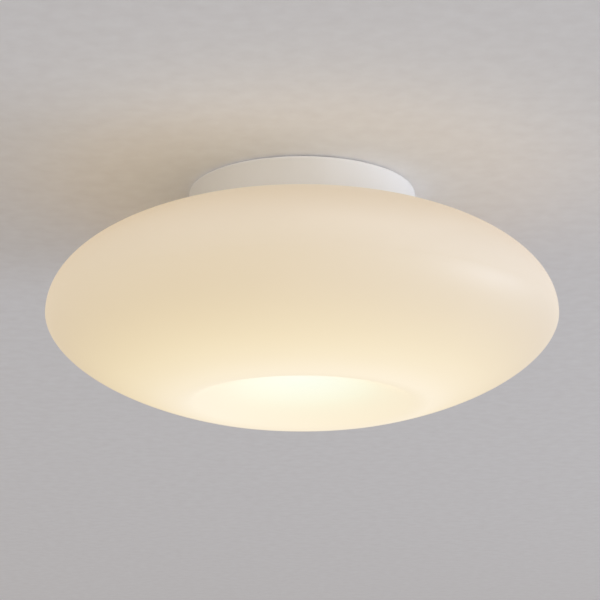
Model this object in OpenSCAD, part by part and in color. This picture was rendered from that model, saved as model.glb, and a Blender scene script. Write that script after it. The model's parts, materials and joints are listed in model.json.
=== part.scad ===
// Flush ceiling light. A white steel canopy carries three lampholders on a reflector plate, and
// a lens-shaped opal glass shade snaps by its rolled rim onto three spring clips.
// Millimetres, +Z up. The origin is in the ceiling plane, where the mains cable comes out of it,
// and the light hangs below. Round pieces are drawn as outlines of [radius, height].

/* [Glass shade] */
// Outer diameter at the widest line
glass_d = 400; // [380:5:420]
// Wall of the blown glass
glass_wall = 3; // [2.5:0.5:4]
// Height of the upper curve's crown above the widest line
upper_rise = 86.2; // [78:0.1:94]
// Fullness of the upper curve, where 2 is an ellipse
upper_fullness = 2.1; // [1.9:0.05:2.3]
// Depth of the lower curve's crown below the widest line
lower_fall = 80.5; // [76:0.1:86]
// Fullness of the lower curve, where 2 is an ellipse
lower_fullness = 1.78; // [1.7:0.02:2]
// Diameter of the lip round the dimple
lip_d = 187; // [160:1:210]
// Radius of the rounded lip
lip_round = 24; // [16:1:30]
// Height of the dimple's crown above the lip
dimple_depth = 20; // [12:1:26]
// Outer diameter of the neck
neck_d = 156; // [146:1:166]
// Radius where the neck grows out of the body
neck_fillet = 5; // [4:0.5:6]
// How far the rolled rim stands out of the neck
rim_proud = 3.5; // [3:0.25:4]
// Radius of the rolled rim's section
rim_round = 2.5; // [2.25:0.05:2.75]

/* [Canopy] */
// Height of the canopy from the ceiling to its lower edge
canopy_h = 25.8; // [24:0.1:30]
// Sheet of the canopy
canopy_sheet = 1; // [0.8:0.1:1.2]
// Depth of the recess that the disc keeps from the ceiling
disc_recess = 2; // [1.8:0.1:2.6]
// Width of the rim that lies on the ceiling
ceiling_rim_w = 6; // [5:0.25:7]
// Width of the step between the disc and the ceiling rim
step_w = 2; // [1.5:0.5:2.5]
// Bend radius of the canopy's shoulder, on the sheet's middle line
shoulder_bend = 2; // [1:0.25:2.5]
// Bend radius of the turned-in lower edge, on the sheet's middle line
hem_bend = 1.2; // [1:0.1:1.6]
// Length of the turned-in lower edge past its bend
hem_length = 1.5; // [1:0.25:2]
// Bend radius of the step between the disc and the ceiling rim
step_bend = 1; // [0.75:0.05:1.1]
// Gap between the canopy's lower edge and the glass below it
canopy_gap = 0.8; // [0.6:0.1:1.5]
// Diameter of the cable hole in the disc
cable_hole_d = 14; // [12:1:16]
// Distance between the two slots for the ceiling screws
slot_spacing = 100; // [96:1:104]
// Length of each slot, end to end
slot_length = 16; // [10:1:18]
// Width of each slot
slot_w = 5.2; // [4.2:0.1:6]

/* [Grommet and gasket] */
// Bore of the cable grommet
grommet_bore = 9; // [7:0.5:10]
// Diameter of the grommet's flanges
grommet_d = 19; // [18:1:22]
// Thickness of the grommet's lower flange
grommet_lip = 2; // [1.5:0.5:3]
// Thickness of the silicone ring above the glass
gasket_t = 2.1; // [1.8:0.1:2.6]
// Width of the silicone ring
gasket_w = 6; // [5:0.5:6.5]
// Free gap between the silicone ring and the rolled rim
seat_gap = 0.3; // [0.3:0.1:0.6]

/* [Spring clips] */
// Width of a clip
clip_w = 14; // [12:1:18]
// Strip thickness of a clip
clip_t = 0.6; // [0.5:0.1:0.8]
// Bend radius of the strip, on its middle line
clip_bend = 1.2; // [1:0.1:1.5]
// Slope of the arm that carries the rolled rim
arm_slope = 35; // [30:1:40]
// Slope of the lead-in below the nose
lead_slope = 55; // [45:1:65]
// Length of the lead-in
lead_length = 6; // [4:0.5:7]
// Gap between the clip and the glass that it holds
clip_gap = 0.4; // [0.3:0.05:0.6]
// Gap between the rolled rim and the clip's upright leg
leg_gap = 4.4; // [4:0.1:5]
// Gap between the clip's upright leg and the canopy's skirt
clip_room = 2.5; // [2:0.25:3]
// Length of a clip's foot, up to the middle of its upright leg
foot_l = 25.2; // [23:0.1:27]
// Distance of the rivets from the end of the clip's foot
rivet_inset = 5; // [4:0.5:6]
// Distance between the two rivets of a clip
rivet_spacing = 7; // [6.5:0.5:8]
// Shank diameter of a rivet
rivet_d = 3; // [2.4:0.2:3.2]
// Head diameter of a rivet
rivet_head_d = 5.4; // [4.8:0.2:5.8]
// Head height of a rivet
rivet_head_h = 1; // [0.8:0.1:1.2]

/* [Reflector plate] */
// Gap between the reflector plate and the glass neck
plate_gap = 3.5; // [3:0.25:4.5]
// Sheet of the reflector plate
plate_sheet = 1; // [0.8:0.1:1.2]
// Room between the canopy's disc and the reflector plate
wiring_room = 16; // [15.5:0.5:18]
// Height of the plate's dished edge
plate_edge_h = 4.5; // [3:0.5:6]
// Width of the plate's dished edge
plate_edge_w = 5; // [4:0.5:6]
// Distance between a post's axis and the end of a clip's foot
post_gap = 5; // [4.75:0.25:6]
// Width of the hexagon posts across their flats
post_flats = 7; // [6:0.5:8]
// Depth of the tapped hole in a post
post_tap_depth = 10; // [8:1:12]
// Diameter of the plate screws
plate_screw_d = 4; // [3:1:4]
// Length of the plate screws under the head
plate_screw_l = 8; // [6:1:9]

/* [Lampholders] */
// Radius of the circle that the lampholders hang on
holder_circle = 36; // [34:0.5:37]
// Width of the ledge between the porcelain base and barrel
base_ledge = 3; // [2.5:0.25:3.5]
// Height of the porcelain base
holder_base_h = 9; // [8:0.5:10]
// Porcelain wall round the well
barrel_wall = 3.5; // [3:0.25:4]
// Porcelain between the plate and the floor of the well
holder_floor = 12; // [11.5:0.25:13]
// Wall of the screw shell
sleeve_wall = 0.4; // [0.3:0.1:0.5]
// Distance from the end of the screw shell to the floor of the well
sleeve_gap = 4; // [3:0.5:6]
// Distance of a lampholder screw's axis from the face of the barrel
holder_screw_inset = 3; // [2.5:0.25:3.5]
// Diameter of the lampholder screws
holder_screw_d = 3; // [2.5:0.5:3]
// Length of the lampholder screws under the head
holder_screw_l = 9; // [7:1:10]
// Distance between the two wire clamps of a lampholder
clamp_spacing = 11; // [10.5:0.5:12]
// Length of a wire clamp along the radius
clamp_l = 6; // [5.5:0.25:6.5]
// Width of a wire clamp
clamp_w = 4.4; // [4:0.1:4.8]
// Height of a wire clamp
clamp_h = 5; // [4.5:0.25:5.5]
// Depth of the wire clamps below the back of the lampholder
clamp_sunk = 1.5; // [1:0.25:2]
// Diameter of the plate's opening behind a lampholder
wire_opening_d = 19; // [18:0.5:20]
// Width of the centre contact strip
contact_w = 6; // [5:0.5:8]
// Thickness of the centre contact strip
contact_t = 0.5; // [0.4:0.1:0.6]
// Drop of the centre contact's tongue below the floor of the well
contact_drop = 2.4; // [2:0.2:3]

/* [Lamps] */
// Length of a lamp from its contact to its tip
lamp_length = 78; // [72:1:82]
// Diameter of a lamp's globe
lamp_d = 45; // [44:0.5:47]
// Diameter of the lamp's screw cap
cap_d = 26.4; // [26:0.1:26.4]
// Height of the lamp's screw cap with its contact
cap_h = 27; // [26.75:0.25:27.5]
// Wall of the globe
globe_wall = 1; // [0.8:0.1:1.5]
// Gap between the lamp and what it screws into
lamp_gap = 0.3; // [0.3:0.05:0.4]
// How far a lamp's screw cap stands out of the lampholder
cap_proud = 0.7; // [0.5:0.1:1]
// Angle from the globe's top at which the collar meets it
collar_angle = 56; // [50:1:62]
// Width of the collar's edge round the globe
collar_edge = 0.6; // [0.4:0.1:1]
// Height of the centre contact's button
button_h = 1; // [0.8:0.1:1.4]
// Diameter of the centre contact's button
button_d = 9.5; // [8:0.5:11]
// Height of the glass insulator between the button and the screw shell
insulator_h = 4; // [3:0.5:5]

/* [Terminal block and earth] */
// Distance between the terminal block's poles
pole_pitch = 12; // [11.5:0.25:12.5]
// Radius of the plastic round each pole
pole_r = 3.2; // [3:0.1:3.3]
// Length of the terminal block's poles
pole_length = 20; // [18:1:21]
// Distance between the terminal block's middle and the post beside it
block_to_post = 26; // [25:0.25:27]
// Height of the poles' axis below the canopy's disc
pole_drop = 4.5; // [4.2:0.1:5]
// Height of the screw towers below the canopy's disc
tower_h = 12; // [11:0.5:13]
// Distance of a screw tower from the middle of its pole
tower_offset = 5; // [4.5:0.25:5.5]
// Radius of a screw tower
tower_r = 3; // [2.8:0.1:3.2]
// Bore of the brass terminal sleeves
terminal_bore = 3; // [2.6:0.1:3.2]
// Wall of the brass terminal sleeves
terminal_wall = 0.8; // [0.6:0.1:0.9]
// Diameter of the terminal screws
terminal_screw_d = 2.6; // [2.2:0.2:3]
// How much further out than the posts the earth stud stands
earth_to_post = 2.5; // [2:0.25:3]
// Angle of the earth stud round the light's axis
earth_angle = 287; // [286:0.5:288]
// Diameter of the earth stud
earth_stud_d = 4; // [3:1:4]
// Width of the earth nut across its flats
earth_nut_flats = 7; // [6.5:0.5:8]
// Height of the earth nut
earth_nut_h = 3; // [2.4:0.2:3.6]
// Thickness of the earth lug
lug_t = 0.8; // [0.6:0.1:1]
// Diameter of the earth lug's ring
lug_d = 9; // [8:0.5:10]
// Diameter of the wires over their sleeves
wire_d = 2.2; // [1.8:0.1:2.4]

/* [Hidden] */
// Lampholders, lamps, posts and clips go round the light's axis in threes
threes = 3;
$fn = 64;

// Drawing allowances: over-cut of a hole past its walls, and steps along round outlines
past = 1;
curve_steps = 22;
arc_steps = 8;
bend_steps = 5;

// Plays that no one sees: of a screw shell in its well, of a lampholder's clamps in their pockets,
// of a screw in its hole, and of the earth stud and wire in the lug
shell_play = 0.05;
clamp_play = 0.3;
screw_play = 0.4;
lug_play = 0.2;

// Radii from the neck of the glass outwards, and inwards
glass_r = glass_d / 2;
lip_r = lip_d / 2;
neck_r = neck_d / 2;
leg_r = neck_r + rim_proud + leg_gap + clip_t / 2;
canopy_r = leg_r + clip_t / 2 + clip_room + canopy_sheet;
disc_r = canopy_r - ceiling_rim_w - step_w;
foot_start = leg_r - foot_l;
rivet_circle = foot_start + rivet_inset;
post_circle = foot_start - post_gap;
block_offset = post_circle - block_to_post;
earth_circle = post_circle + earth_to_post;
plate_r = neck_r - glass_wall - plate_gap;

// Radii of a lampholder round its own axis
cap_r = cap_d / 2;
sleeve_bore = cap_d + 2 * lamp_gap;
sleeve_r = sleeve_bore / 2 + sleeve_wall;
well_r = sleeve_r + shell_play;
barrel_r = well_r + barrel_wall;
base_r = barrel_r + base_ledge;
holder_screw_spacing = 2 * (barrel_r - holder_screw_inset);

// Heights from the ceiling down
disc_top = -disc_recess;
disc_under = disc_top - canopy_sheet;
gasket_under = disc_under - gasket_t;
rim_z = gasket_under - seat_gap - rim_round;
plate_top = disc_under - wiring_room;
plate_under = plate_top - plate_sheet;
well_floor = plate_under - holder_floor;
lamp_top = well_floor - contact_drop - lamp_gap;
cap_low = lamp_top - cap_h;
holder_mouth = cap_low + cap_proud;
lamp_tip = lamp_top - lamp_length;
pole_z = disc_under - pole_drop;

// Angles round the light's axis: from one lampholder to the next, of the first lampholder, and of
// the first post and clip between them
holder_turn = 360 / threes;
first_holder = 90;
first_clip = 30;

// One height of the glass curves and the slope there, at radius r
function curve_height(r, rise, fullness) =
    rise * pow(1 - pow(r / glass_r, fullness), 1 / fullness);
function curve_slope(r, rise, fullness) =
    atan(rise / glass_r * pow(r / glass_r, fullness - 1)
        * pow(1 - pow(r / glass_r, fullness), 1 / fullness - 1));
widest_drop = canopy_h + canopy_gap + curve_height(canopy_r, upper_rise, upper_fullness);
function upper_z(r) = -widest_drop + curve_height(r, upper_rise, upper_fullness);
function lower_z(r) = -widest_drop - curve_height(r, lower_fall, lower_fullness);
function upper_slope(r) = curve_slope(r, upper_rise, upper_fullness);
function lower_slope(r) = curve_slope(r, lower_fall, lower_fullness);

// Where the neck's fillet and the lip's round leave the glass curves, found by a few steps that
// each start from the slope at the last radius
function fillet_end(r, steps) = steps == 0 ? r
    : fillet_end(neck_r + neck_fillet * (1 - sin(upper_slope(r))), steps - 1);
function lip_start(r, steps) = steps == 0 ? r
    : lip_start(lip_r + lip_round * sin(lower_slope(r)), steps - 1);
slope_steps = 8;
fillet_r = fillet_end(neck_r, slope_steps);
lip_start_r = lip_start(lip_r, slope_steps);
fillet_centre = [
    neck_r + neck_fillet,
    upper_z(fillet_r) + neck_fillet * cos(upper_slope(fillet_r))
];
lip_centre = [lip_r, lower_z(lip_start_r) + lip_round * cos(lower_slope(lip_start_r))];

// The dimple's arc meets the lip's round in one line: its radius follows from the lip and depth
lip_and_dimple = (lip_r * lip_r + dimple_depth * dimple_depth) / (2 * dimple_depth);
dimple_round = lip_and_dimple - lip_round;
dimple_crown = lip_centre.y - lip_round + dimple_depth;
dimple_centre = [0, dimple_crown - dimple_round];
dimple_edge = atan2(lip_centre.y - dimple_centre.y, lip_r);

// Points on an arc of radius r round c, from angle a to angle b
function arc(c, r, a, b, steps = arc_steps) =
    [for (i = [0:steps]) let (t = a + (b - a) * i / steps) c + r * [cos(t), sin(t)]];
function backwards(points) = [for (i = [len(points) - 1:-1:0]) points[i]];

// One glass curve from parameter a to b, moved inwards along its normal by inset. side is 1 for
// the upper curve and -1 for the lower one.
function glass_curve(a, b, rise, fullness, side, inset) =
    [for (i = [0:curve_steps]) let (
        t = a + (b - a) * i / curve_steps,
        r = pow(sin(t), 2 / fullness),
        h = pow(max(cos(t), 0), 2 / fullness),
        across = pow(r, fullness - 1) / glass_r,
        along = pow(h, fullness - 1) / rise,
        whole = norm([across, along])
    ) [glass_r * r - inset * across / whole,
        -widest_drop + side * (rise * h - inset * along / whole)]];
function curve_start(r, fullness) = asin(pow(r / glass_r, fullness / 2));

// The glass from the foot of its neck to the crown of the dimple, moved inwards by inset
function glass_side(inset) = concat(
    arc(fillet_centre, neck_fillet + inset, 180, 270 - upper_slope(fillet_r)),
    glass_curve(curve_start(fillet_r, upper_fullness), 90, upper_rise, upper_fullness, 1, inset),
    glass_curve(90, curve_start(lip_start_r, lower_fullness), lower_fall, lower_fullness, -1,
        inset),
    arc(lip_centre, lip_round - inset, lower_slope(lip_start_r) - 90, dimple_edge - 180),
    arc(dimple_centre, dimple_round + inset, dimple_edge, 90)
);
// Drops each point that repeats the one before it
function apart(points) = [for (i = [0:len(points) - 1])
    if (i == 0 || norm(points[i] - points[max(i - 1, 0)]) > 0.001) points[i]];

// The rolled rim, from the neck's outer wall over the top to its inner wall
rim_outer = [neck_r + rim_proud - rim_round, rim_z];
rim_inner = [neck_r - glass_wall + rim_round, rim_z];
rim_meets_neck = acos((neck_r - rim_outer.x) / rim_round);
rim_outline = concat(
    arc(rim_inner, rim_round, 180, 90),
    arc(rim_outer, rim_round, 90, -rim_meets_neck, 2 * arc_steps)
);
glass_outline = apart(concat(rim_outline, glass_side(0), backwards(glass_side(glass_wall))));

module glass_shade() {
    color([0.98, 0.93, 0.82])
        rotate_extrude($fn = 180)
            polygon(glass_outline);
}

// Sheet metal: a path with its corners bent to radius r, and the outline of a strip of
// thickness t along it
function heading(a, b) = (b - a) / norm(b - a);
function left_of(v) = [-v.y, v.x];
function turned(v, a) = [v.x * cos(a) - v.y * sin(a), v.x * sin(a) + v.y * cos(a)];
function bend(p, before, after, r) = let (
    u = heading(before, p),
    v = heading(p, after),
    angle = atan2(cross(u, v), u * v),
    start = p - r * tan(abs(angle) / 2) * u,
    centre = start + sign(angle) * r * left_of(u)
) [for (k = [0:bend_steps]) centre + turned(start - centre, angle * k / bend_steps)];
function bent(corners, r) = concat(
    [corners[0]],
    [for (i = [1:len(corners) - 2]) each bend(corners[i], corners[i - 1], corners[i + 1], r)],
    [corners[len(corners) - 1]]
);
function side_normal(path, i) = let (
    last = len(path) - 1,
    a = left_of(heading(path[max(i - 1, 0)], path[max(i, 1)])),
    b = left_of(heading(path[min(i, last - 1)], path[min(i + 1, last)]))
) (a + b) / (1 + a * b);
function strip(path, t) = concat(
    [for (i = [0:len(path) - 1]) path[i] + t / 2 * side_normal(path, i)],
    [for (i = [len(path) - 1:-1:0]) path[i] - t / 2 * side_normal(path, i)]
);

// Places on the light: round its axis, and on one lampholder at a distance outwards and sideways
module round_axis(first, n) {
    rotate(first + holder_turn * (n - 1))
        children();
}
module at_holder(n) {
    round_axis(first_holder, n)
        translate([holder_circle, 0, 0])
            children();
}
function holder_spot(n, out, side, z) = let (a = first_holder + holder_turn * (n - 1)) [
    (holder_circle + out) * cos(a) - side * sin(a),
    (holder_circle + out) * sin(a) + side * cos(a),
    z
];

// Canopy: the disc with its step, the rim on the ceiling, the skirt and the turned-in edge
skirt_r = canopy_r - canopy_sheet / 2;
hem_z = -canopy_h + canopy_sheet / 2;
hem_turn = 130;
hem_centre = [skirt_r - hem_bend, hem_z + hem_bend];
disc_mid = disc_top - canopy_sheet / 2;
canopy_path = concat(
    [[cable_hole_d / 2, disc_mid]],
    bend([disc_r, disc_mid], [0, disc_mid], [disc_r + step_w, -canopy_sheet / 2], step_bend),
    bend([disc_r + step_w, -canopy_sheet / 2], [disc_r, disc_mid],
        [skirt_r, -canopy_sheet / 2], step_bend),
    bend([skirt_r, -canopy_sheet / 2], [disc_r + step_w, -canopy_sheet / 2],
        [skirt_r, hem_z], shoulder_bend),
    arc(hem_centre, hem_bend, 0, -hem_turn),
    [hem_centre + turned([hem_bend, -hem_length], -hem_turn)]
);

module slot() {
    straight = slot_length - slot_w;
    linear_extrude(canopy_sheet + 2 * past)
        union() {
            square([straight, slot_w], center = true);
            for (end = [-1, 1])
                translate([end * straight / 2, 0])
                    circle(d = slot_w);
        }
}
module disc_hole(place, d) {
    translate([place.x, place.y, disc_under - past])
        cylinder(d = d, h = canopy_sheet + 2 * past);
}
module canopy() {
    color([0.93, 0.92, 0.9])
        difference() {
            rotate_extrude($fn = 180)
                polygon(strip(canopy_path, canopy_sheet));
            for (side = [-1, 1])
                translate([side * slot_spacing / 2, 0, disc_under - past])
                    slot();
            for (n = [1:threes], side = [-1, 1])
                round_axis(first_clip, n)
                    disc_hole([rivet_circle, side * rivet_spacing / 2], rivet_d);
            for (n = [1:threes])
                round_axis(first_clip, n)
                    disc_hole([post_circle, 0], post_shank_d);
            disc_hole(earth_place, earth_stud_d);
            disc_hole(block_screw_place, block_screw_d);
        }
}

// Grommet: two flanges with the edge of the cable hole in the groove between them
grommet_round = 0.8;
grommet_under = disc_under - grommet_lip;
grommet_outline = concat(
    [[grommet_bore / 2, 0], [grommet_bore / 2, grommet_under]],
    arc([grommet_d / 2 - grommet_round, grommet_under + grommet_round], grommet_round, -90, 0),
    [[grommet_d / 2, disc_under], [cable_hole_d / 2, disc_under]],
    [[cable_hole_d / 2, disc_top], [grommet_d / 2, disc_top], [grommet_d / 2, 0]]
);
module cable_grommet() {
    color([0.2, 0.2, 0.2])
        rotate_extrude()
            polygon(grommet_outline);
}

// Silicone ring over the rolled rim, notched where a clip's foot passes
gasket_r = rim_outer.x + rim_round;
notch_play = 0.4;
module glass_gasket() {
    color([0.85, 0.85, 0.82])
        difference() {
            translate([0, 0, gasket_under])
                difference() {
                    cylinder(r = gasket_r, h = gasket_t, $fn = 180);
                    translate([0, 0, -past])
                        cylinder(r = gasket_r - gasket_w, h = gasket_t + 2 * past, $fn = 180);
                }
            for (n = [1:threes])
                round_axis(first_clip, n)
                    translate([foot_start, -(clip_w + notch_play) / 2, disc_under - clip_t])
                        cube([canopy_r - foot_start, clip_w + notch_play, clip_t + past]);
        }
}

// Spring clip: foot on the disc, upright leg inside the skirt, arm under the rolled rim, nose
// and lead-in. The arm lies clip_gap below the rim, and the nose lies clip_gap off the neck.
foot_z = disc_under - clip_t / 2;
arm_heading = [-cos(arm_slope), -sin(arm_slope)];
under_rim = rim_outer - (rim_round + clip_gap + clip_t / 2) * [-sin(arm_slope), cos(arm_slope)];
nose_r = neck_r + clip_gap + clip_t / 2;
nose_centre_r = nose_r + clip_bend;
// The arm touches the nose's bend at this distance past the point under the rim
arm_reach = (under_rim.x - nose_centre_r + clip_bend * sin(arm_slope)) / cos(arm_slope);
arm_end = under_rim + arm_reach * arm_heading;
nose_centre = arm_end - clip_bend * [-sin(arm_slope), cos(arm_slope)];
arm_top = under_rim - (leg_r - under_rim.x) / cos(arm_slope) * arm_heading;
lead_heading = [cos(lead_slope), -sin(lead_slope)];
lead_start = nose_centre + clip_bend * [-sin(lead_slope), -cos(lead_slope)];
clip_path = concat(
    [[foot_start, foot_z]],
    bend([leg_r, foot_z], [foot_start, foot_z], [leg_r, rim_z], clip_bend),
    bend([leg_r, arm_top.y], [leg_r, foot_z], under_rim, clip_bend),
    arc(nose_centre, clip_bend, 90 + arm_slope, 270 - lead_slope),
    [lead_start + lead_length * lead_heading]
);
module spring_clip(n) {
    color([0.72, 0.73, 0.75])
        round_axis(first_clip, n)
            difference() {
                translate([0, clip_w / 2, 0])
                    rotate([90, 0, 0])
                        linear_extrude(clip_w)
                            polygon(strip(clip_path, clip_t));
                for (side = [-1, 1])
                    translate([rivet_circle, side * rivet_spacing / 2, foot_z - past])
                        cylinder(d = rivet_d, h = 2 * past);
            }
}

// Domed head on the plane at height z, pointing up or down. Its edge stands upright for a share
// of its height, below the dome.
edge_share = 0.3;
module head(d, h, z, up) {
    rise = h * (1 - edge_share);
    round = (d * d / 4 + rise * rise) / (2 * rise);
    translate([0, 0, z])
        mirror([0, 0, up ? 0 : 1])
            rotate_extrude()
                polygon(concat(
                    [[0, 0], [d / 2, 0]],
                    arc([0, h - round], round, 90 - asin(d / 2 / round), 90)
                ));
}
module clip_rivets() {
    rivet_low = disc_under - clip_t;
    color([0.6, 0.61, 0.63])
        for (n = [1:threes], side = [-1, 1])
            round_axis(first_clip, n)
                translate([rivet_circle, side * rivet_spacing / 2, 0]) {
                    translate([0, 0, rivet_low])
                        cylinder(d = rivet_d, h = disc_top - rivet_low);
                    head(rivet_head_d, rivet_head_h, rivet_low, false);
                    head(rivet_head_d, rivet_head_h, disc_top, true);
                }
}

// Posts: hexagons riveted through the disc, with a tapped hole from below
post_shank_d = 5;
post_head_d = 7.4;
post_head_h = 1;
tap_share = 0.85;
module plate_posts() {
    color([0.74, 0.74, 0.7])
        for (n = [1:threes])
            round_axis(first_clip, n)
                translate([post_circle, 0, 0])
                    difference() {
                        union() {
                            translate([0, 0, plate_top])
                                cylinder(d = post_flats / cos(30), h = wiring_room, $fn = 6);
                            translate([0, 0, disc_under])
                                cylinder(d = post_shank_d, h = canopy_sheet);
                            head(post_head_d, post_head_h, disc_top, true);
                        }
                        translate([0, 0, plate_top - past])
                            cylinder(d = plate_screw_d * tap_share, h = post_tap_depth + past);
                    }
}

// Reflector plate: flat disc with a dished edge, openings behind the lampholders and screw holes
plate_mid = plate_top - plate_sheet / 2;
plate_edge_bend = 2;
plate_path = concat(
    [[0, plate_mid]],
    bend([plate_r - plate_edge_w, plate_mid], [0, plate_mid],
        [plate_r, plate_mid + plate_edge_h], plate_edge_bend),
    [[plate_r, plate_mid + plate_edge_h]]
);
module plate_hole(d) {
    translate([0, 0, plate_under - past])
        cylinder(d = d, h = plate_sheet + 2 * past);
}
module reflector_plate() {
    color([0.95, 0.95, 0.94])
        difference() {
            rotate_extrude($fn = 120)
                polygon(strip(plate_path, plate_sheet));
            for (n = [1:threes]) {
                round_axis(first_clip, n)
                    translate([post_circle, 0, 0])
                        plate_hole(plate_screw_d + screw_play);
                at_holder(n) {
                    plate_hole(wire_opening_d);
                    for (side = [-1, 1])
                        translate([side * holder_screw_spacing / 2, 0, 0])
                            plate_hole(holder_screw_d + screw_play);
                }
            }
        }
}

// Pan-head screw, head up or down, seated at height z and pointing away from its head
head_share = 1.9;
head_rise = 0.6;
drive_share = 0.28;
module screw(d, length, z, up) {
    head_h = d * head_rise;
    translate([0, 0, z])
        mirror([0, 0, up ? 0 : 1])
            difference() {
                union() {
                    translate([0, 0, -length])
                        cylinder(d = d * tap_share, h = length);
                    head(d * head_share, head_h, 0, true);
                }
                translate([-d, -d * drive_share / 2, head_h / 2])
                    cube([2 * d, d * drive_share, head_h]);
            }
}
module plate_screws() {
    color([0.8, 0.8, 0.78])
        for (n = [1:threes])
            round_axis(first_clip, n)
                translate([post_circle, 0, 0])
                    screw(plate_screw_d, plate_screw_l + plate_sheet, plate_under, false);
}
module holder_screws() {
    color([0.8, 0.8, 0.78])
        for (n = [1:threes], side = [-1, 1])
            at_holder(n)
                translate([side * holder_screw_spacing / 2, 0, 0])
                    screw(holder_screw_d, holder_screw_l + plate_sheet, plate_top, true);
}

// Lampholder: porcelain base and barrel with a well for the screw shell, and pockets at the back
base_low = plate_under - holder_base_h;
porcelain_round = 0.48 * base_ledge;
mouth_round = 1.2;
mouth_step = 0.5;
mouth_r = well_r + mouth_step;
mouth_depth = 3;
sleeve_low = holder_mouth + mouth_depth;
sleeve_length = well_floor - sleeve_gap - sleeve_low;
holder_outline = concat(
    [[0, plate_under], [base_r, plate_under]],
    arc([base_r - porcelain_round, base_low + porcelain_round], porcelain_round, 0, -90),
    arc([barrel_r + porcelain_round, base_low - porcelain_round], porcelain_round, 90, 180),
    arc([barrel_r - mouth_round, holder_mouth + mouth_round], mouth_round, 0, -90),
    [[mouth_r, holder_mouth], [mouth_r, sleeve_low]],
    [[well_r, sleeve_low], [well_r, well_floor], [0, well_floor]]
);
clamp_top = plate_under - clamp_sunk;
module clamp_box(side, play, low, high) {
    translate([-(clamp_l + play) / 2, side * clamp_spacing / 2 - (clamp_w + play) / 2, low])
        cube([clamp_l + play, clamp_w + play, high - low]);
}
module holder_body(n) {
    color([0.96, 0.95, 0.92])
        at_holder(n)
            difference() {
                rotate_extrude($fn = 96)
                    polygon(holder_outline);
                for (side = [-1, 1]) {
                    clamp_box(side, clamp_play, clamp_top - clamp_h, plate_under + past);
                    translate([side * holder_screw_spacing / 2, 0, plate_under - holder_screw_l])
                        cylinder(d = holder_screw_d * tap_share, h = holder_screw_l + past);
                }
            }
}
module holder_terminals() {
    color([0.8, 0.68, 0.4])
        for (n = [1:threes], side = [-1, 1])
            at_holder(n)
                clamp_box(side, 0, clamp_top - clamp_h, clamp_top);
}
module holder_sleeve(n) {
    color([0.83, 0.8, 0.7])
        at_holder(n)
            translate([0, 0, sleeve_low])
                difference() {
                    cylinder(r = sleeve_r, h = sleeve_length);
                    translate([0, 0, -past])
                        cylinder(d = sleeve_bore, h = sleeve_length + 2 * past);
                }
}

// Centre contact: a foot on the floor of the well and a tongue bent down to the lamp
contact_reach = 9;
contact_foot = 4;
contact_bend = 0.8;
tongue_reach = 3;
tongue_lift = 0.8;
tongue_z = well_floor - contact_drop + contact_t / 2;
contact_path = bent([
    [-contact_reach, well_floor - contact_t / 2],
    [-contact_foot, well_floor - contact_t / 2],
    [0, tongue_z],
    [tongue_reach, tongue_z],
    [2 * tongue_reach, tongue_z + tongue_lift]
], contact_bend);
module holder_contact(n) {
    color([0.82, 0.62, 0.42])
        at_holder(n)
            translate([0, contact_w / 2, 0])
                rotate([90, 0, 0])
                    linear_extrude(contact_w)
                        polygon(strip(contact_path, contact_t));
}

// Lamp: a screw cap with its insulator and button, a curved collar and a round globe
cap_top = lamp_top - button_h - insulator_h;
insulator_inset = 3.5;
insulator_r = cap_r - insulator_inset;
cap_round = 1.5;
globe_r = lamp_d / 2;
globe_z = lamp_tip + globe_r;
collar_low = globe_z + globe_r * cos(collar_angle);
globe_top_r = globe_r * sin(collar_angle);
collar_h = cap_low - collar_low;
collar_bulge = 1.6;
collar_lap = 0.4;
collar_r = globe_top_r + collar_edge;
collar_top_r = cap_r + collar_lap;
collar_steps = 10;
module bulb_cap(n) {
    color([0.86, 0.86, 0.86])
        at_holder(n)
            rotate_extrude()
                polygon(concat(
                    [[0, cap_top], [insulator_r, cap_top]],
                    arc([cap_r - cap_round, cap_top - cap_round], cap_round, 90, 0),
                    [[cap_r, cap_low], [0, cap_low]]
                ));
}
module bulb_contact(n) {
    color([0.3, 0.28, 0.26])
        at_holder(n)
            rotate_extrude()
                polygon(concat(
                    [[0, lamp_top]],
                    arc([button_d / 2 - button_h, lamp_top - button_h], button_h, 90, 0),
                    [[insulator_r, cap_top], [0, cap_top]]
                ));
}
// The collar swells from the cap to the globe along a power curve
module bulb_collar(n) {
    color([0.95, 0.95, 0.95])
        at_holder(n)
            rotate_extrude()
                polygon(concat(
                    [[0, cap_low]],
                    [for (i = [0:collar_steps]) let (s = i / collar_steps) [
                        collar_top_r + (collar_r - collar_top_r) * (1 - pow(1 - s, collar_bulge)),
                        cap_low - collar_h * s
                    ]],
                    [[0, collar_low]]
                ));
}
function globe_arc(r) =
    arc([0, globe_z], r, asin((collar_low - globe_z) / r), -90, 3 * arc_steps);
module bulb_globe(n) {
    color([1, 0.98, 0.92])
        at_holder(n)
            rotate_extrude($fn = 96)
                polygon(concat(
                    globe_arc(globe_r),
                    backwards(globe_arc(globe_r - globe_wall))
                ));
}

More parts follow.
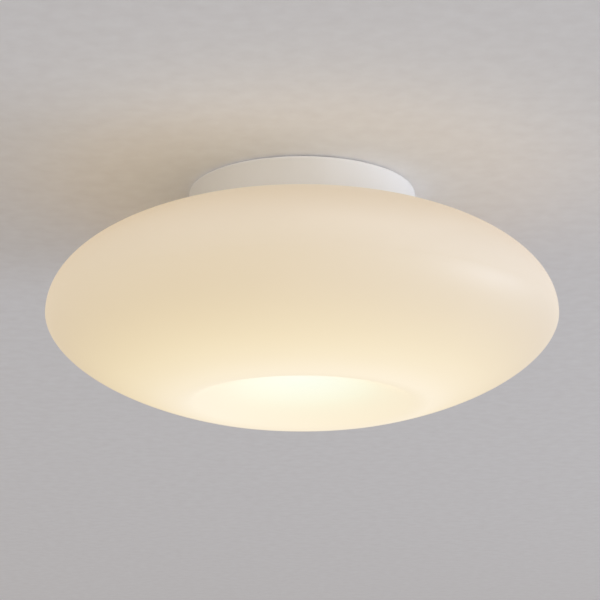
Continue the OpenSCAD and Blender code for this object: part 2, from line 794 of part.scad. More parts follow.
// Terminal block: three poles side by side, each with two screw towers, joined by a spine
spine_w = 7;
spine_proud = 0.3;
spine_h = pole_drop + pole_r + spine_proud;
block_screw_d = 2.9;
block_screw_tip = 0.5;
block_screw_l = spine_h + canopy_sheet + block_screw_tip;
block_screw_place = [pole_pitch / 2, -block_offset];
terminal_r = terminal_bore / 2 + terminal_wall;
terminal_sunk = 1.5;
terminal_length = pole_length - 2 * terminal_sunk;
module at_pole(i) {
    translate([i * pole_pitch, -block_offset, pole_z])
        children();
}
module along_pole(r, length) {
    rotate([90, 0, 0])
        translate([0, 0, -length / 2])
            cylinder(r = r, h = length, $fn = 32);
}
module at_towers(i) {
    for (end = [-1, 1])
        at_pole(i)
            translate([0, end * tower_offset, 0])
                children();
}
module terminal_block() {
    tower_low = disc_under - tower_h - pole_z;
    color([0.9, 0.9, 0.87])
        difference() {
            union() {
                for (i = [-1:1]) {
                    at_pole(i) {
                        along_pole(pole_r, pole_length);
                        translate([-pole_r, -pole_length / 2, 0])
                            cube([2 * pole_r, pole_length, pole_drop]);
                    }
                    at_towers(i)
                        translate([0, 0, tower_low])
                            cylinder(r = tower_r, h = -tower_low);
                }
                translate([-pole_pitch, -block_offset - spine_w / 2, disc_under - spine_h])
                    cube([2 * pole_pitch, spine_w, spine_h]);
            }
            for (i = [-1:1]) {
                at_pole(i)
                    along_pole(terminal_r, pole_length + 2 * past);
                at_towers(i)
                    translate([0, 0, tower_low - past])
                        cylinder(d = terminal_screw_d + screw_play, h = past - tower_low);
            }
            translate([block_screw_place.x, block_screw_place.y, disc_under - spine_h - past])
                cylinder(d = block_screw_d, h = spine_h + 2 * past);
        }
}
module terminal_sleeves() {
    color([0.83, 0.7, 0.4])
        for (i = [-1:1])
            difference() {
                at_pole(i)
                    along_pole(terminal_r, terminal_length);
                at_pole(i)
                    along_pole(terminal_bore / 2, terminal_length + 2 * past);
                at_towers(i)
                    translate([0, 0, -terminal_r - past])
                        cylinder(d = terminal_screw_d, h = terminal_r + past);
            }
}
// A terminal screw is sunk in its tower and ends at the wall of the sleeve's bore
terminal_screw_sunk = 1;
module terminal_screws() {
    screw_low = disc_under - tower_h + terminal_screw_sunk - pole_z;
    drive_depth = 0.8;
    color([0.75, 0.75, 0.72])
        for (i = [-1:1])
            at_towers(i)
                difference() {
                    translate([0, 0, screw_low])
                        cylinder(d = terminal_screw_d, h = -terminal_bore / 2 - screw_low);
                    translate([-terminal_screw_d, -drive_depth / 2, screw_low - past])
                        cube([2 * terminal_screw_d, drive_depth, past + drive_depth]);
                }
}
module block_screw() {
    color([0.8, 0.8, 0.78])
        translate([block_screw_place.x, block_screw_place.y, 0])
            screw(block_screw_d / tap_share, block_screw_l, disc_under - spine_h, false);
}

// Earth: a stud through the disc, a lug on it and a nut over the lug
earth_head_d = 7;
earth_head_h = 1;
earth_stud_past_nut = 2;
lug_barrel_l = 7;
lug_barrel_r = 1.8;
lug_turn = 145;
earth_place = earth_circle * [cos(earth_angle), sin(earth_angle)];
module at_earth() {
    translate([earth_place.x, earth_place.y, 0])
        children();
}
module earth_stud() {
    stud_low = disc_under - lug_t - earth_nut_h - earth_stud_past_nut;
    color([0.74, 0.74, 0.7])
        at_earth() {
            translate([0, 0, stud_low])
                cylinder(d = earth_stud_d, h = disc_top - stud_low);
            head(earth_head_d, earth_head_h, disc_top, true);
        }
}
module earth_nut() {
    color([0.8, 0.8, 0.78])
        at_earth()
            translate([0, 0, disc_under - lug_t - earth_nut_h])
                difference() {
                    cylinder(d = earth_nut_flats / cos(30), h = earth_nut_h, $fn = 6);
                    translate([0, 0, -past])
                        cylinder(d = earth_stud_d, h = earth_nut_h + 2 * past);
                }
}
lug_barrel_z = disc_under - lug_barrel_r;
lug_neck = lug_d / 2;
module earth_lug() {
    color([0.8, 0.8, 0.8])
        at_earth()
            rotate(lug_turn)
                difference() {
                    union() {
                        translate([0, 0, disc_under - lug_t])
                            cylinder(d = lug_d, h = lug_t);
                        translate([0, -lug_barrel_r, disc_under - lug_t])
                            cube([lug_neck + lug_barrel_l, 2 * lug_barrel_r, lug_t]);
                        translate([lug_neck, 0, lug_barrel_z])
                            rotate([0, 90, 0])
                                cylinder(r = lug_barrel_r, h = lug_barrel_l);
                    }
                    translate([0, 0, disc_under - lug_t - past])
                        cylinder(d = earth_stud_d + lug_play, h = lug_t + 2 * past);
                    translate([lug_neck + lug_barrel_l / 2, 0, lug_barrel_z])
                        rotate([0, 90, 0])
                            cylinder(d = wire_d + lug_play, h = lug_barrel_l);
                }
}

// Wires: a round tube swept along a smooth curve through the points of its route
wire_sides = 8;
leg_steps = 4;
// The first side of a wire's section is taken from a heading that no wire starts along
no_wire_heading = [0.3, 0.2, 0.93];
function spline_point(a, b, c, d, t) = 0.5 * (2 * b + (c - a) * t
    + (2 * a - 5 * b + 4 * c - d) * t * t + (3 * b - a - 3 * c + d) * t * t * t);
function smooth(points) = let (last = len(points) - 1) concat(
    [for (i = [0:last - 1], s = [0:leg_steps - 1]) spline_point(
        i == 0 ? 2 * points[0] - points[1] : points[i - 1],
        points[i],
        points[i + 1],
        i == last - 1 ? 2 * points[last] - points[last - 1] : points[i + 2],
        s / leg_steps
    )],
    [points[last]]
);
function end_heading(points, i) = i == 0 ? heading(points[0], points[1])
    : heading(points[len(points) - 2], points[len(points) - 1]);
function headings(path, points) = let (last = len(path) - 1) [for (i = [0:last])
    i == 0 || i == last ? end_heading(points, i) : heading(path[i - 1], path[i + 1])];
function carried(side, ahead) = heading([0, 0, 0], side - (side * ahead) * ahead);
function carried_sides(along, i, side) = i == len(along) ? []
    : let (now = carried(side, along[i])) concat([now], carried_sides(along, i + 1, now));
module wire(points) {
    path = smooth(points);
    along = headings(path, points);
    across = carried_sides(along, 0, cross(along[0], no_wire_heading));
    last = len(path) - 1;
    polyhedron(
        points = [for (i = [0:last], k = [0:wire_sides - 1]) let (a = 360 * k / wire_sides)
            path[i] + wire_d / 2 * (cos(a) * across[i] + sin(a) * cross(along[i], across[i]))],
        faces = concat(
            [[for (k = [0:wire_sides - 1]) k]],
            [[for (k = [wire_sides - 1:-1:0]) last * wire_sides + k]],
            [for (i = [0:last - 1], k = [0:wire_sides - 1]) let (
                a = i * wire_sides + k,
                b = i * wire_sides + (k + 1) % wire_sides
            ) each [[a, a + wire_sides, b], [b, a + wire_sides, b + wire_sides]]]
        ),
        convexity = 10
    );
}

// Ends of the wires: in the sleeves on one side of the block, and on the clamps, where two wires
// share one clamp. A wire goes on straight for a short way past the block and above a clamp.
wire_straight = 2;
sleeve_end_y = -block_offset - terminal_length / 2 + wire_straight;
block_side_y = -block_offset - pole_length / 2 - wire_straight;
pair_offset = 1.45;
down_z = plate_top + 2 * wire_straight;
function from_block(i) = [
    [i * pole_pitch, sleeve_end_y, pole_z],
    [i * pole_pitch, block_side_y, pole_z]
];
function to_clamp(n, out, side) = [
    holder_spot(n, out * pair_offset, side * clamp_spacing / 2, down_z),
    holder_spot(n, out * pair_offset, side * clamp_spacing / 2, clamp_top)
];
// Between their ends the wires run at two depths below the disc, through places that are given
// as shares of the posts' circle
near_z = disc_under - 2 * wire_d;
far_z = near_z - 2 * wire_d;
function spot(x, y, z) = [x * post_circle, y * post_circle, z];
live_routes = [
    concat(from_block(-1), [spot(-0.32, -0.87, near_z), spot(-0.48, -0.68, near_z)],
        to_clamp(2, -1, 1)),
    concat(backwards(to_clamp(2, 1, 1)), [spot(-0.66, -0.4, near_z), spot(-0.66, 0.07, near_z)],
        [spot(-0.45, 0.48, near_z)], to_clamp(1, 1, 1)),
    concat(backwards(to_clamp(1, -1, 1)), [spot(0.07, 0.41, near_z), spot(0.43, 0.21, far_z)],
        to_clamp(3, -1, 1))
];
neutral_routes = [
    concat(from_block(1), [spot(0.32, -0.84, near_z), spot(0.46, -0.68, near_z)],
        to_clamp(3, 1, -1)),
    concat(backwards(to_clamp(3, -1, -1)), [spot(0.36, -0.18, near_z), spot(0.36, 0.21, near_z)],
        [spot(0.23, 0.52, near_z)], to_clamp(1, 1, -1)),
    concat(backwards(to_clamp(1, -1, -1)), [spot(-0.07, 0.39, far_z), spot(-0.4, 0.18, far_z)],
        to_clamp(2, -1, -1))
];
lug_end = lug_neck + lug_barrel_l;
lug_heading = [cos(lug_turn), sin(lug_turn), 0];
lug_mouth = [earth_place.x, earth_place.y, lug_barrel_z]
    + (lug_end - wire_straight) * lug_heading;
earth_route = concat(
    from_block(0),
    [spot(0.04, -0.8, lug_barrel_z - wire_d / 2)],
    [lug_mouth + 2 * wire_straight * lug_heading, lug_mouth]
);
module live_wire(n) {
    color([0.45, 0.28, 0.16])
        wire(live_routes[n - 1]);
}
module neutral_wire(n) {
    color([0.2, 0.35, 0.7])
        wire(neutral_routes[n - 1]);
}
module earth_wire() {
    color([0.6, 0.75, 0.2])
        wire(earth_route);
}

canopy();
cable_grommet();
glass_gasket();
clip_rivets();
terminal_block();
terminal_sleeves();
terminal_screws();
block_screw();
earth_stud();
earth_nut();
earth_lug();
earth_wire();
plate_posts();
reflector_plate();
plate_screws();
holder_terminals();
holder_screws();
glass_shade();
for (n = [1:threes]) {
    spring_clip(n);
    holder_body(n);
    holder_sleeve(n);
    holder_contact(n);
    live_wire(n);
    neutral_wire(n);
    bulb_globe(n);
    bulb_collar(n);
    bulb_cap(n);
    bulb_contact(n);
}
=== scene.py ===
# %% [markdown]
# # A flush ceiling light with a lens-shaped opal glass
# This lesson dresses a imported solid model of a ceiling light. The solids already have their real
# sizes and places, in metres with Z up, and the ceiling is the plane Z = 0. What is left to make
# is what the eye sees: smooth blown glass that glows, powder coat, porcelain, metals and threads.

# %% Load the solid model
import json
import math

import bmesh
import bpy
import numpy as np
from mathutils import Matrix, Vector


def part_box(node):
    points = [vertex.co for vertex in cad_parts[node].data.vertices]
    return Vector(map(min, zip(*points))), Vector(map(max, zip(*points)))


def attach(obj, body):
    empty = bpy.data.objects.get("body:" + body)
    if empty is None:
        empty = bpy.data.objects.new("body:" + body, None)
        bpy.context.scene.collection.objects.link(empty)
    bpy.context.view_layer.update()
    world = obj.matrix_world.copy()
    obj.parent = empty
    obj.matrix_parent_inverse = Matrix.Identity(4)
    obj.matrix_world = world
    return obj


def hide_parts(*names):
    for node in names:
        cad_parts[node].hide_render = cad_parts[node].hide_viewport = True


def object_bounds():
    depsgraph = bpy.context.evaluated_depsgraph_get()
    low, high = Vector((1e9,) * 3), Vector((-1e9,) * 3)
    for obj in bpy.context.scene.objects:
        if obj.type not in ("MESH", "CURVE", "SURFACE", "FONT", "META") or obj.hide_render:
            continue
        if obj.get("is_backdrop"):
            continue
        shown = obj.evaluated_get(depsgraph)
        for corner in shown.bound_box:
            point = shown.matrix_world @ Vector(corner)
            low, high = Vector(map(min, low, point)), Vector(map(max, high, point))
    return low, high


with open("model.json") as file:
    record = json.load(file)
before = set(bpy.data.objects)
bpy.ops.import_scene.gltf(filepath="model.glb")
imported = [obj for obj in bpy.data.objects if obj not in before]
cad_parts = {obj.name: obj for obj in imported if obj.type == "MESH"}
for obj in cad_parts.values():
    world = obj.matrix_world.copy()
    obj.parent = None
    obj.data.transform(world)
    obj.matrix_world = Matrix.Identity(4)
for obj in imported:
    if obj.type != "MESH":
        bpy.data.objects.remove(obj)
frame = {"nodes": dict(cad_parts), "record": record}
MM = 0.001
cad_low, cad_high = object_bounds()
print("solid model in mm:", [round((b - a) / MM, 1) for a, b in zip(cad_low, cad_high)])

# %% [markdown]
# ## Helpers for materials
# A material is a small tree of nodes. One helper adds a node, sets its options and its inputs, and
# takes a link wherever an input is given another node's output. Colours are written as the sRGB
# hex values that a screen shows, and one function turns them into the linear light of a shader.

# %% Two helpers


def add(tree, kind, inputs=None, **settings):
    """Adds a node to a tree with its settings, and its inputs as values or as links."""
    node = tree.nodes.new(kind)
    for name, value in settings.items():
        setattr(node, name, value)
    for name, value in (inputs or {}).items():
        if isinstance(value, bpy.types.NodeSocket):
            tree.links.new(value, node.inputs[name])
        else:
            node.inputs[name].default_value = value
    return node


def linear(hex_colour):
    """The linear red, green, blue and alpha of an sRGB colour such as #F4E8C8."""
    shares = [int(hex_colour[i : i + 2], 16) / 255 for i in (1, 3, 5)]
    return [s / 12.92 if s <= 0.04045 else ((s + 0.055) / 1.055) ** 2.4 for s in shares] + [1.0]


print("mid grey in linear light:", [round(c, 3) for c in linear("#808080")])

# %% [markdown]
# ## A finish with patches and grain
# Most of the surfaces here are one colour that drifts a little from place to place, over a fine
# grain that the light catches. One function builds that from two noise textures in Object
# coordinates, so that both sizes are real millimetres: the patches mix two close colours and two
# roughness values, and the grain drives a bump of a real depth.

# %% Patches and grain


def patchy_finish(
    name, colours, patch_mm, grain_mm, depth_mm, roughness, shine=None, stretch=(1, 1, 1)
):
    """A shader whose colour and roughness drift over patches, with a bump of fine grain."""
    material = bpy.data.materials.new(name)
    material.use_nodes = True
    tree = material.node_tree
    tree.nodes.clear()
    place = add(tree, "ShaderNodeTexCoord").outputs["Object"]
    spread = add(tree, "ShaderNodeMapping", {"Vector": place, "Scale": stretch}).outputs["Vector"]
    drift = {"Vector": spread, "Scale": 1 / (patch_mm * MM), "Detail": 3.0}
    patches = add(tree, "ShaderNodeTexNoise", drift)
    colour = add(tree, "ShaderNodeMix", {"Factor": patches.outputs["Fac"]}, data_type="RGBA")
    colour.inputs["A"].default_value = linear(colours[0])
    colour.inputs["B"].default_value = linear(colours[1])
    rough = add(tree, "ShaderNodeMapRange", {"Value": patches.outputs["Fac"]})
    rough.inputs["To Min"].default_value = roughness[0]
    rough.inputs["To Max"].default_value = roughness[1]
    fine = {"Vector": spread, "Scale": 1 / (grain_mm * MM), "Detail": 2.0}
    grain = add(tree, "ShaderNodeTexNoise", fine)
    bump = add(tree, "ShaderNodeBump", {"Height": grain.outputs["Fac"], "Distance": depth_mm * MM})
    shader = add(
        tree,
        "ShaderNodeBsdfPrincipled",
        {
            "Base Color": colour.outputs["Result"],
            "Roughness": rough.outputs["Result"],
            "Normal": bump.outputs["Normal"],
            **(shine or {}),
        },
    )
    add(tree, "ShaderNodeOutputMaterial", {"Surface": shader.outputs["BSDF"]})
    return material, tree, shader


print("patchy_finish is ready")

# %% [markdown]
# ## Spinning outlines
# Almost every piece of this light was spun, blown, pressed or turned, so it is an outline of
# radius and height, swept round an axis. A screw modifier could do it, but a node tree keeps the
# number of steps and the finish as named inputs. The tree turns the outline's edges into a curve,
# carries it round a circle, and welds the points that meet on the axis, so that poles are closed.
# An outline may run either way: a piece that comes out with a negative volume is inside out, and
# has its faces turned round.

# %% The spinning tree
PATH_R = 0.05
WELD = 0.002 * MM
SPUN_INPUTS = {
    "Segments": "NodeSocketInt",
    "Path radius": "NodeSocketFloat",
    "Weld distance": "NodeSocketFloat",
    "Finish": "NodeSocketMaterial",
}


def new_tree(name, inputs):
    """An empty geometry tree with named inputs, and its group input node."""
    tree = bpy.data.node_groups.new(name, "GeometryNodeTree")
    tree.interface.new_socket("Geometry", in_out="OUTPUT", socket_type="NodeSocketGeometry")
    tree.interface.new_socket("Geometry", in_out="INPUT", socket_type="NodeSocketGeometry")
    for title, kind in inputs.items():
        tree.interface.new_socket(title, in_out="INPUT", socket_type=kind)
    return tree, add(tree, "NodeGroupInput").outputs


def spinning_tree():
    """Sweeps an outline, drawn as edges, round the Z axis."""
    tree, given = new_tree("spin_outline", SPUN_INPUTS)
    outline = add(tree, "GeometryNodeMeshToCurve", {"Mesh": given["Geometry"]})
    circle = add(
        tree,
        "GeometryNodeCurvePrimitiveCircle",
        {"Resolution": given["Segments"], "Radius": given["Path radius"]},
    )
    swept = add(
        tree,
        "GeometryNodeCurveToMesh",
        {"Curve": circle.outputs["Curve"], "Profile Curve": outline.outputs["Curve"]},
    )
    welded = add(
        tree,
        "GeometryNodeMergeByDistance",
        {"Geometry": swept.outputs["Mesh"], "Distance": given["Weld distance"]},
    )
    real = add(tree, "GeometryNodeRealizeInstances", {"Geometry": welded.outputs["Geometry"]})
    done = add(
        tree,
        "GeometryNodeSetMaterial",
        {"Geometry": real.outputs["Geometry"], "Material": given["Finish"]},
    )
    add(tree, "NodeGroupOutput", {"Geometry": done.outputs["Geometry"]})
    return tree


SPIN = spinning_tree()
print("inputs of the spinning tree:", list(SPUN_INPUTS))

# %% [markdown]
# A modifier's input is set by its socket's identifier, because two sockets may share a name. The
# evaluated object then becomes a plain mesh, and the modifier goes, so that the piece is kept as
# the mesh that is rendered.

# %% From an outline to a piece


def run_tree(piece, tree, values):
    """Runs a geometry tree on a piece and leaves the result as its plain mesh."""
    modifier = piece.modifiers.new(tree.name, "NODES")
    modifier.node_group = tree
    sockets = {s.name: s.identifier for s in tree.interface.items_tree if s.in_out == "INPUT"}
    for title, value in values.items():
        modifier[sockets[title]] = value
    graph = bpy.context.evaluated_depsgraph_get()
    result = bpy.data.meshes.new_from_object(piece.evaluated_get(graph))
    piece.modifiers.remove(modifier)
    piece.data = result


def smooth(piece, crease_degrees=35):
    """Smooth shading, broken where two faces meet at more than the crease angle."""
    piece.data.shade_smooth()
    piece.data.set_sharp_from_angle(angle=math.radians(crease_degrees))


def spun_piece(name, outline, finish, segments=128, crease_degrees=35):
    """A closed round piece from an outline in mm, with its faces turned outwards."""
    mesh = bpy.data.meshes.new(name)
    points = [(r * MM - PATH_R, -z * MM, 0) for r, z in outline]
    mesh.from_pydata(points, [(k, k + 1) for k in range(len(points) - 1)], [])
    piece = bpy.data.objects.new(name, mesh)
    bpy.context.scene.collection.objects.link(piece)
    values = {"Segments": segments, "Path radius": PATH_R, "Weld distance": WELD, "Finish": finish}
    run_tree(piece, SPIN, values)
    if measured(piece)[0] < 0:
        piece.data.flip_normals()
    smooth(piece, crease_degrees)
    return piece


def measured(piece):
    """A piece's volume in mm3, negative if it is inside out, and the number of its open edges."""
    shape = bmesh.new()
    shape.from_mesh(piece.data)
    loose = sum(1 for e in shape.edges if len(e.link_faces) != 2)
    volume = shape.calc_volume(signed=True) / MM**3
    shape.free()
    return volume, loose


def check_closed(piece):
    """Prints a piece's size in faces, its volume and its open edges."""
    volume, loose = measured(piece)
    print(f"{piece.name}: {len(piece.data.polygons)} faces, {volume:.0f} mm3, {loose} open edges")


def arc(centre, radius, start, end, steps=12):
    """Points on an arc from one angle to another, in degrees."""
    turns = np.radians(np.linspace(start, end, steps + 1))
    return [(centre[0] + radius * math.cos(t), centre[1] + radius * math.sin(t)) for t in turns]


print("a quarter arc:", [(round(x, 2), round(y, 2)) for x, y in arc((0, 0), 1, 0, 90, 2)])

# %% [markdown]
# ## The glass
# The shade is mouth-blown into a mould: a flattened body, a short neck with a rolled rim, and a
# dimple pressed up into the underside behind a soft lip. Its outline is a chain of arcs and two
# superellipses, one above and one below the widest line, which meet there with an upright tangent.
# The same sizes drive the solid model, so the spun mesh lies on its surface, only finer.

# %% Sizes of the glass, in millimetres
glass_low, glass_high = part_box("glass_shade")
GLASS_R = round((glass_high.x - glass_low.x) / 2 / MM)
WALL = 3.0
UPPER_RISE, UPPER_FULLNESS = 86.2, 2.1
LOWER_FALL, LOWER_FULLNESS = 80.5, 1.78
LIP_R, LIP_ROUND = 93.5, 24.0
DIMPLE_DEPTH = 20.0
NECK_R, NECK_FILLET = 78.0, 5.0
RIM_PROUD, RIM_ROUND = 3.5, 2.5
RIM_Z = glass_high.z / MM - RIM_ROUND
print("glass radius", GLASS_R, "rim height", round(RIM_Z, 2))

# %% [markdown]
# The neck's fillet and the lip's round each touch a superellipse where the slopes agree. The
# place of that touch depends on the slope there, so a few repeats settle it. The lip is the lowest
# point of the glass, so the height of the widest line follows from the solid's lower side.

# %% The outline of the glass
TOUCH_REPEATS = 8


def curve_height(r, rise, fullness):
    """Height of a superellipse at radius r."""
    return rise * (1 - (r / GLASS_R) ** fullness) ** (1 / fullness)


def curve_slope(r, rise, fullness):
    """Angle of a superellipse at radius r, in radians."""
    share = r / GLASS_R
    steepness = share ** (fullness - 1) * (1 - share**fullness) ** (1 / fullness - 1)
    return math.atan(rise / GLASS_R * steepness)


def touch(start, slide, rise, fullness):
    """Radius at which a round of the given centre and slide leaves the curve, and its slope."""
    r = start
    for _ in range(TOUCH_REPEATS):
        r = slide(curve_slope(r, rise, fullness))
    return r, curve_slope(r, rise, fullness)


fillet_r, fillet_slope = touch(
    NECK_R, lambda s: NECK_R + NECK_FILLET * (1 - math.sin(s)), UPPER_RISE, UPPER_FULLNESS
)
lip_start_r, lip_slope = touch(
    LIP_R, lambda s: LIP_R + LIP_ROUND * math.sin(s), LOWER_FALL, LOWER_FULLNESS
)
side_drop = curve_height(lip_start_r, LOWER_FALL, LOWER_FULLNESS)
lip_drop = side_drop + LIP_ROUND * (1 - math.cos(lip_slope))
WIDEST_Z = glass_low.z / MM + lip_drop
shoulder_z = WIDEST_Z + curve_height(fillet_r, UPPER_RISE, UPPER_FULLNESS)
fillet_z = shoulder_z + NECK_FILLET * math.cos(fillet_slope)
lip_z = glass_low.z / MM + LIP_ROUND
dimple_round = (LIP_R**2 + DIMPLE_DEPTH**2) / (2 * DIMPLE_DEPTH) - LIP_ROUND
crown_z = lip_z - LIP_ROUND + DIMPLE_DEPTH
dimple_z = crown_z - dimple_round
dimple_edge = math.degrees(math.atan2(lip_z - dimple_z, LIP_R))
print("widest line at", round(WIDEST_Z, 2), "and the dimple's crown at", round(crown_z, 1))


def superellipse(start_r, end_r, rise, fullness, side, inset, steps=40):
    """A stretch of a superellipse, moved inwards along its normal."""
    first, last = (math.asin((r / GLASS_R) ** (fullness / 2)) for r in (start_r, end_r))
    points = []
    for t in np.linspace(first, last, steps + 1):
        r = math.sin(t) ** (2 / fullness)
        h = max(math.cos(t), 0.0) ** (2 / fullness)
        across, along = r ** (fullness - 1) / GLASS_R, h ** (fullness - 1) / rise
        whole = math.hypot(across, along)
        out = GLASS_R * r - inset * across / whole
        up = rise * h - inset * along / whole
        points.append((out, WIDEST_Z + side * up))
    return points


def glass_side(inset):
    """The glass from the foot of its neck to the crown of its dimple."""
    fillet_end, lip_begin = 270 - math.degrees(fillet_slope), math.degrees(lip_slope) - 90
    return (
        arc((NECK_R + NECK_FILLET, fillet_z), NECK_FILLET + inset, 180, fillet_end)
        + superellipse(fillet_r, GLASS_R, UPPER_RISE, UPPER_FULLNESS, 1, inset)
        + superellipse(GLASS_R, lip_start_r, LOWER_FALL, LOWER_FULLNESS, -1, inset)
        + arc((LIP_R, lip_z), LIP_ROUND - inset, lip_begin, dimple_edge - 180)
        + arc((0, dimple_z), dimple_round + inset, dimple_edge, 90, 24)
    )


LEAST_STEP = 0.01


def apart(points):
    """Drops each point that repeats the one before it."""
    kept = points[:1]
    for point in points[1:]:
        if math.dist(point, kept[-1]) > LEAST_STEP:
            kept.append(point)
    return kept


rim_x = NECK_R + RIM_PROUD - RIM_ROUND
rim_foot = math.degrees(math.acos((NECK_R - rim_x) / RIM_ROUND))
rim = arc((NECK_R - WALL + RIM_ROUND, RIM_Z), RIM_ROUND, 180, 90) + arc(
    (rim_x, RIM_Z), RIM_ROUND, 90, -rim_foot, 20
)
glass_outline = apart(list(reversed(glass_side(WALL))) + rim + glass_side(0))
print("points in the glass outline:", len(glass_outline))

# %% [markdown]
# ## Satin opal glass, lit
# Opal glass is white through and through, and its surface is etched, so it has no sharp
# highlight. The three lamps inside light it from the back. That glow is painted light: an emission
# on the glass whose colour follows the angle round the widest line's centre. It is warm and even at
# the sides, dimmer towards the neck, paler towards the lip, and nearly white in the dimple, which
# lies closest below the lamps. The base colour is a light blue-grey that the room's light falls on.

# %% The glass finish
# painted glow: emission colours by the share of a half turn from straight down, standing in for the
# lamps' light through the glass
PAINTED_GLOW_STOPS = {
    0.0: "#DFE1CB",
    0.12: "#E0E0C6",
    0.19: "#E2DFC2",
    0.24: "#E0DBB9",
    0.28: "#DFCEA8",
    0.31: "#E2D1AD",
    0.35: "#DBC799",
    0.4: "#D2BB86",
    0.46: "#BCA372",
    0.52: "#C0AB88",
    0.59: "#A28242",
    0.68: "#958565",
    0.8: "#6C614A",
}


def opal_glass(name, centre_z, stops):
    """Etched opal glass with a painted glow: an emission that follows the angle from straight down,
    round a centre.
    """
    material, tree, shader = patchy_finish(
        name, ("#A4AAB1", "#AAAFB6"), 90, 0.5, 0.004, (0.42, 0.48), {"IOR": 1.5}
    )
    place = add(tree, "ShaderNodeTexCoord").outputs["Object"]
    lift = {0: place, 1: (0, 0, -centre_z * MM)}
    centred = add(tree, "ShaderNodeVectorMath", lift, operation="ADD").outputs[0]
    flatten = {0: centred, 1: (1, 1, 0)}
    flat = add(tree, "ShaderNodeVectorMath", flatten, operation="MULTIPLY").outputs[0]
    radius = add(tree, "ShaderNodeVectorMath", {0: flat}, operation="LENGTH")
    height = add(tree, "ShaderNodeSeparateXYZ", {0: centred})
    depth = add(tree, "ShaderNodeMath", {0: height.outputs["Z"], 1: -1.0}, operation="MULTIPLY")
    sides = {0: radius.outputs["Value"], 1: depth.outputs[0]}
    angle = add(tree, "ShaderNodeMath", sides, operation="ARCTAN2")
    share = add(tree, "ShaderNodeMath", {0: angle.outputs[0], 1: math.pi}, operation="DIVIDE")
    ramp = add(tree, "ShaderNodeValToRGB", {"Fac": share.outputs[0]})
    ramp.color_ramp.interpolation = "B_SPLINE"
    while len(ramp.color_ramp.elements) < len(stops):
        ramp.color_ramp.elements.new(0.5)
    for stop, (at, colour) in zip(ramp.color_ramp.elements, sorted(stops.items())):
        stop.position = at
        stop.color = linear(colour)
    # the painted glow goes into the glass as emission
    tree.links.new(ramp.outputs["Color"], shader.inputs["Emission Color"])
    shader.inputs["Emission Strength"].default_value = 1.0
    return material


opal_with_painted_glow = opal_glass("satin_opal_glass", WIDEST_Z, PAINTED_GLOW_STOPS)
shade = spun_piece("shade_of_opal_glass", glass_outline, opal_with_painted_glow, segments=224, crease_degrees=60)
check_closed(shade)
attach(shade, "shade")
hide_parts("glass_shade")

# %% [markdown]
# ## Painted and moulded finishes
# The canopy is pressed steel with a satin powder coat: the powder melts into a skin with faint,
# millimetre-wide waves, called orange peel. The reflector plate has smooth baked enamel, the
# lampholders are glazed porcelain, and the grommet, the silicone ring, the terminal block and the
# wires are moulded. They differ in colour, patch size, grain and gloss, so one function serves.

# %% Coats, glaze, rubber and plastics
COAT = {"Coat Weight": 0.35, "Coat Roughness": 0.08}
# for each slot: name, two colours, patch, grain and depth in mm, roughness and shine
MOULDED = {
    "white_enamel": (
        "white_powder_coat", ("#F3F1ED", "#F6F4F1"), 60, 1.4, 0.03, (0.42, 0.5), {"IOR": 1.5}
    ),
    "plate_enamel": (
        "white_baked_enamel", ("#E6E6E3", "#EAEAE8"), 50, 4, 0.01, (0.14, 0.22), {"IOR": 1.5, **COAT}
    ),
    "porcelain": (
        "glazed_porcelain", ("#E9E5DA", "#EFECE4"), 9, 2.2, 0.02, (0.1, 0.2), {"IOR": 1.52, **COAT}
    ),
    "rubber": (
        "moulded_black_rubber", ("#1E1E1E", "#292827"), 4, 0.4, 0.02, (0.6, 0.75), {"IOR": 1.52}
    ),
    "silicone": (
        "translucent_silicone", ("#D2CFC6", "#DBD8D0"), 8, 0.8, 0.01, (0.4, 0.55), {"IOR": 1.41}
    ),
    "nylon": (
        "natural_nylon", ("#DDD9CB", "#E4E1D6"), 5, 0.5, 0.01, (0.36, 0.46), {"IOR": 1.53}
    ),
    "lamp_plastic": (
        "moulded_white_plastic", ("#E4E4E0", "#EBEBE8"), 12, 0.6, 0.008, (0.34, 0.42), {"IOR": 1.5}
    ),
    "contact_insulator": (
        "black_glass_insulator", ("#141314", "#211F21"), 3, 0.8, 0.01, (0.1, 0.2), {"IOR": 1.52}
    ),
    "live_insulation": (
        "brown_wire_sleeve", ("#5C3016", "#6A391C"), 6, 0.5, 0.01, (0.32, 0.42), {"IOR": 1.54}
    ),
    "neutral_insulation": (
        "blue_wire_sleeve", ("#23519B", "#2A5DAE"), 6, 0.5, 0.01, (0.32, 0.42), {"IOR": 1.54}
    ),
}
finishes = {slot: patchy_finish(*look)[0] for slot, look in MOULDED.items()}
finishes["opal_glass"] = opal_with_painted_glow
print("finishes so far:", sorted(finishes))

# %% [markdown]
# The earth wire is green with a yellow stripe that runs round it. Diagonal bands in Object
# coordinates cross the wire every few millimetres, which looks the same, and needs no map on the
# wire. A wave texture counts ten radians for each unit of x + y + z, so a spacing in millimetres
# along the diagonal gives its scale.

# %% Striped sleeve of the earth wire
STRIPE_MM, STRIPE_FROM = 4.5, 0.6
PLASTIC = {"IOR": 1.54}


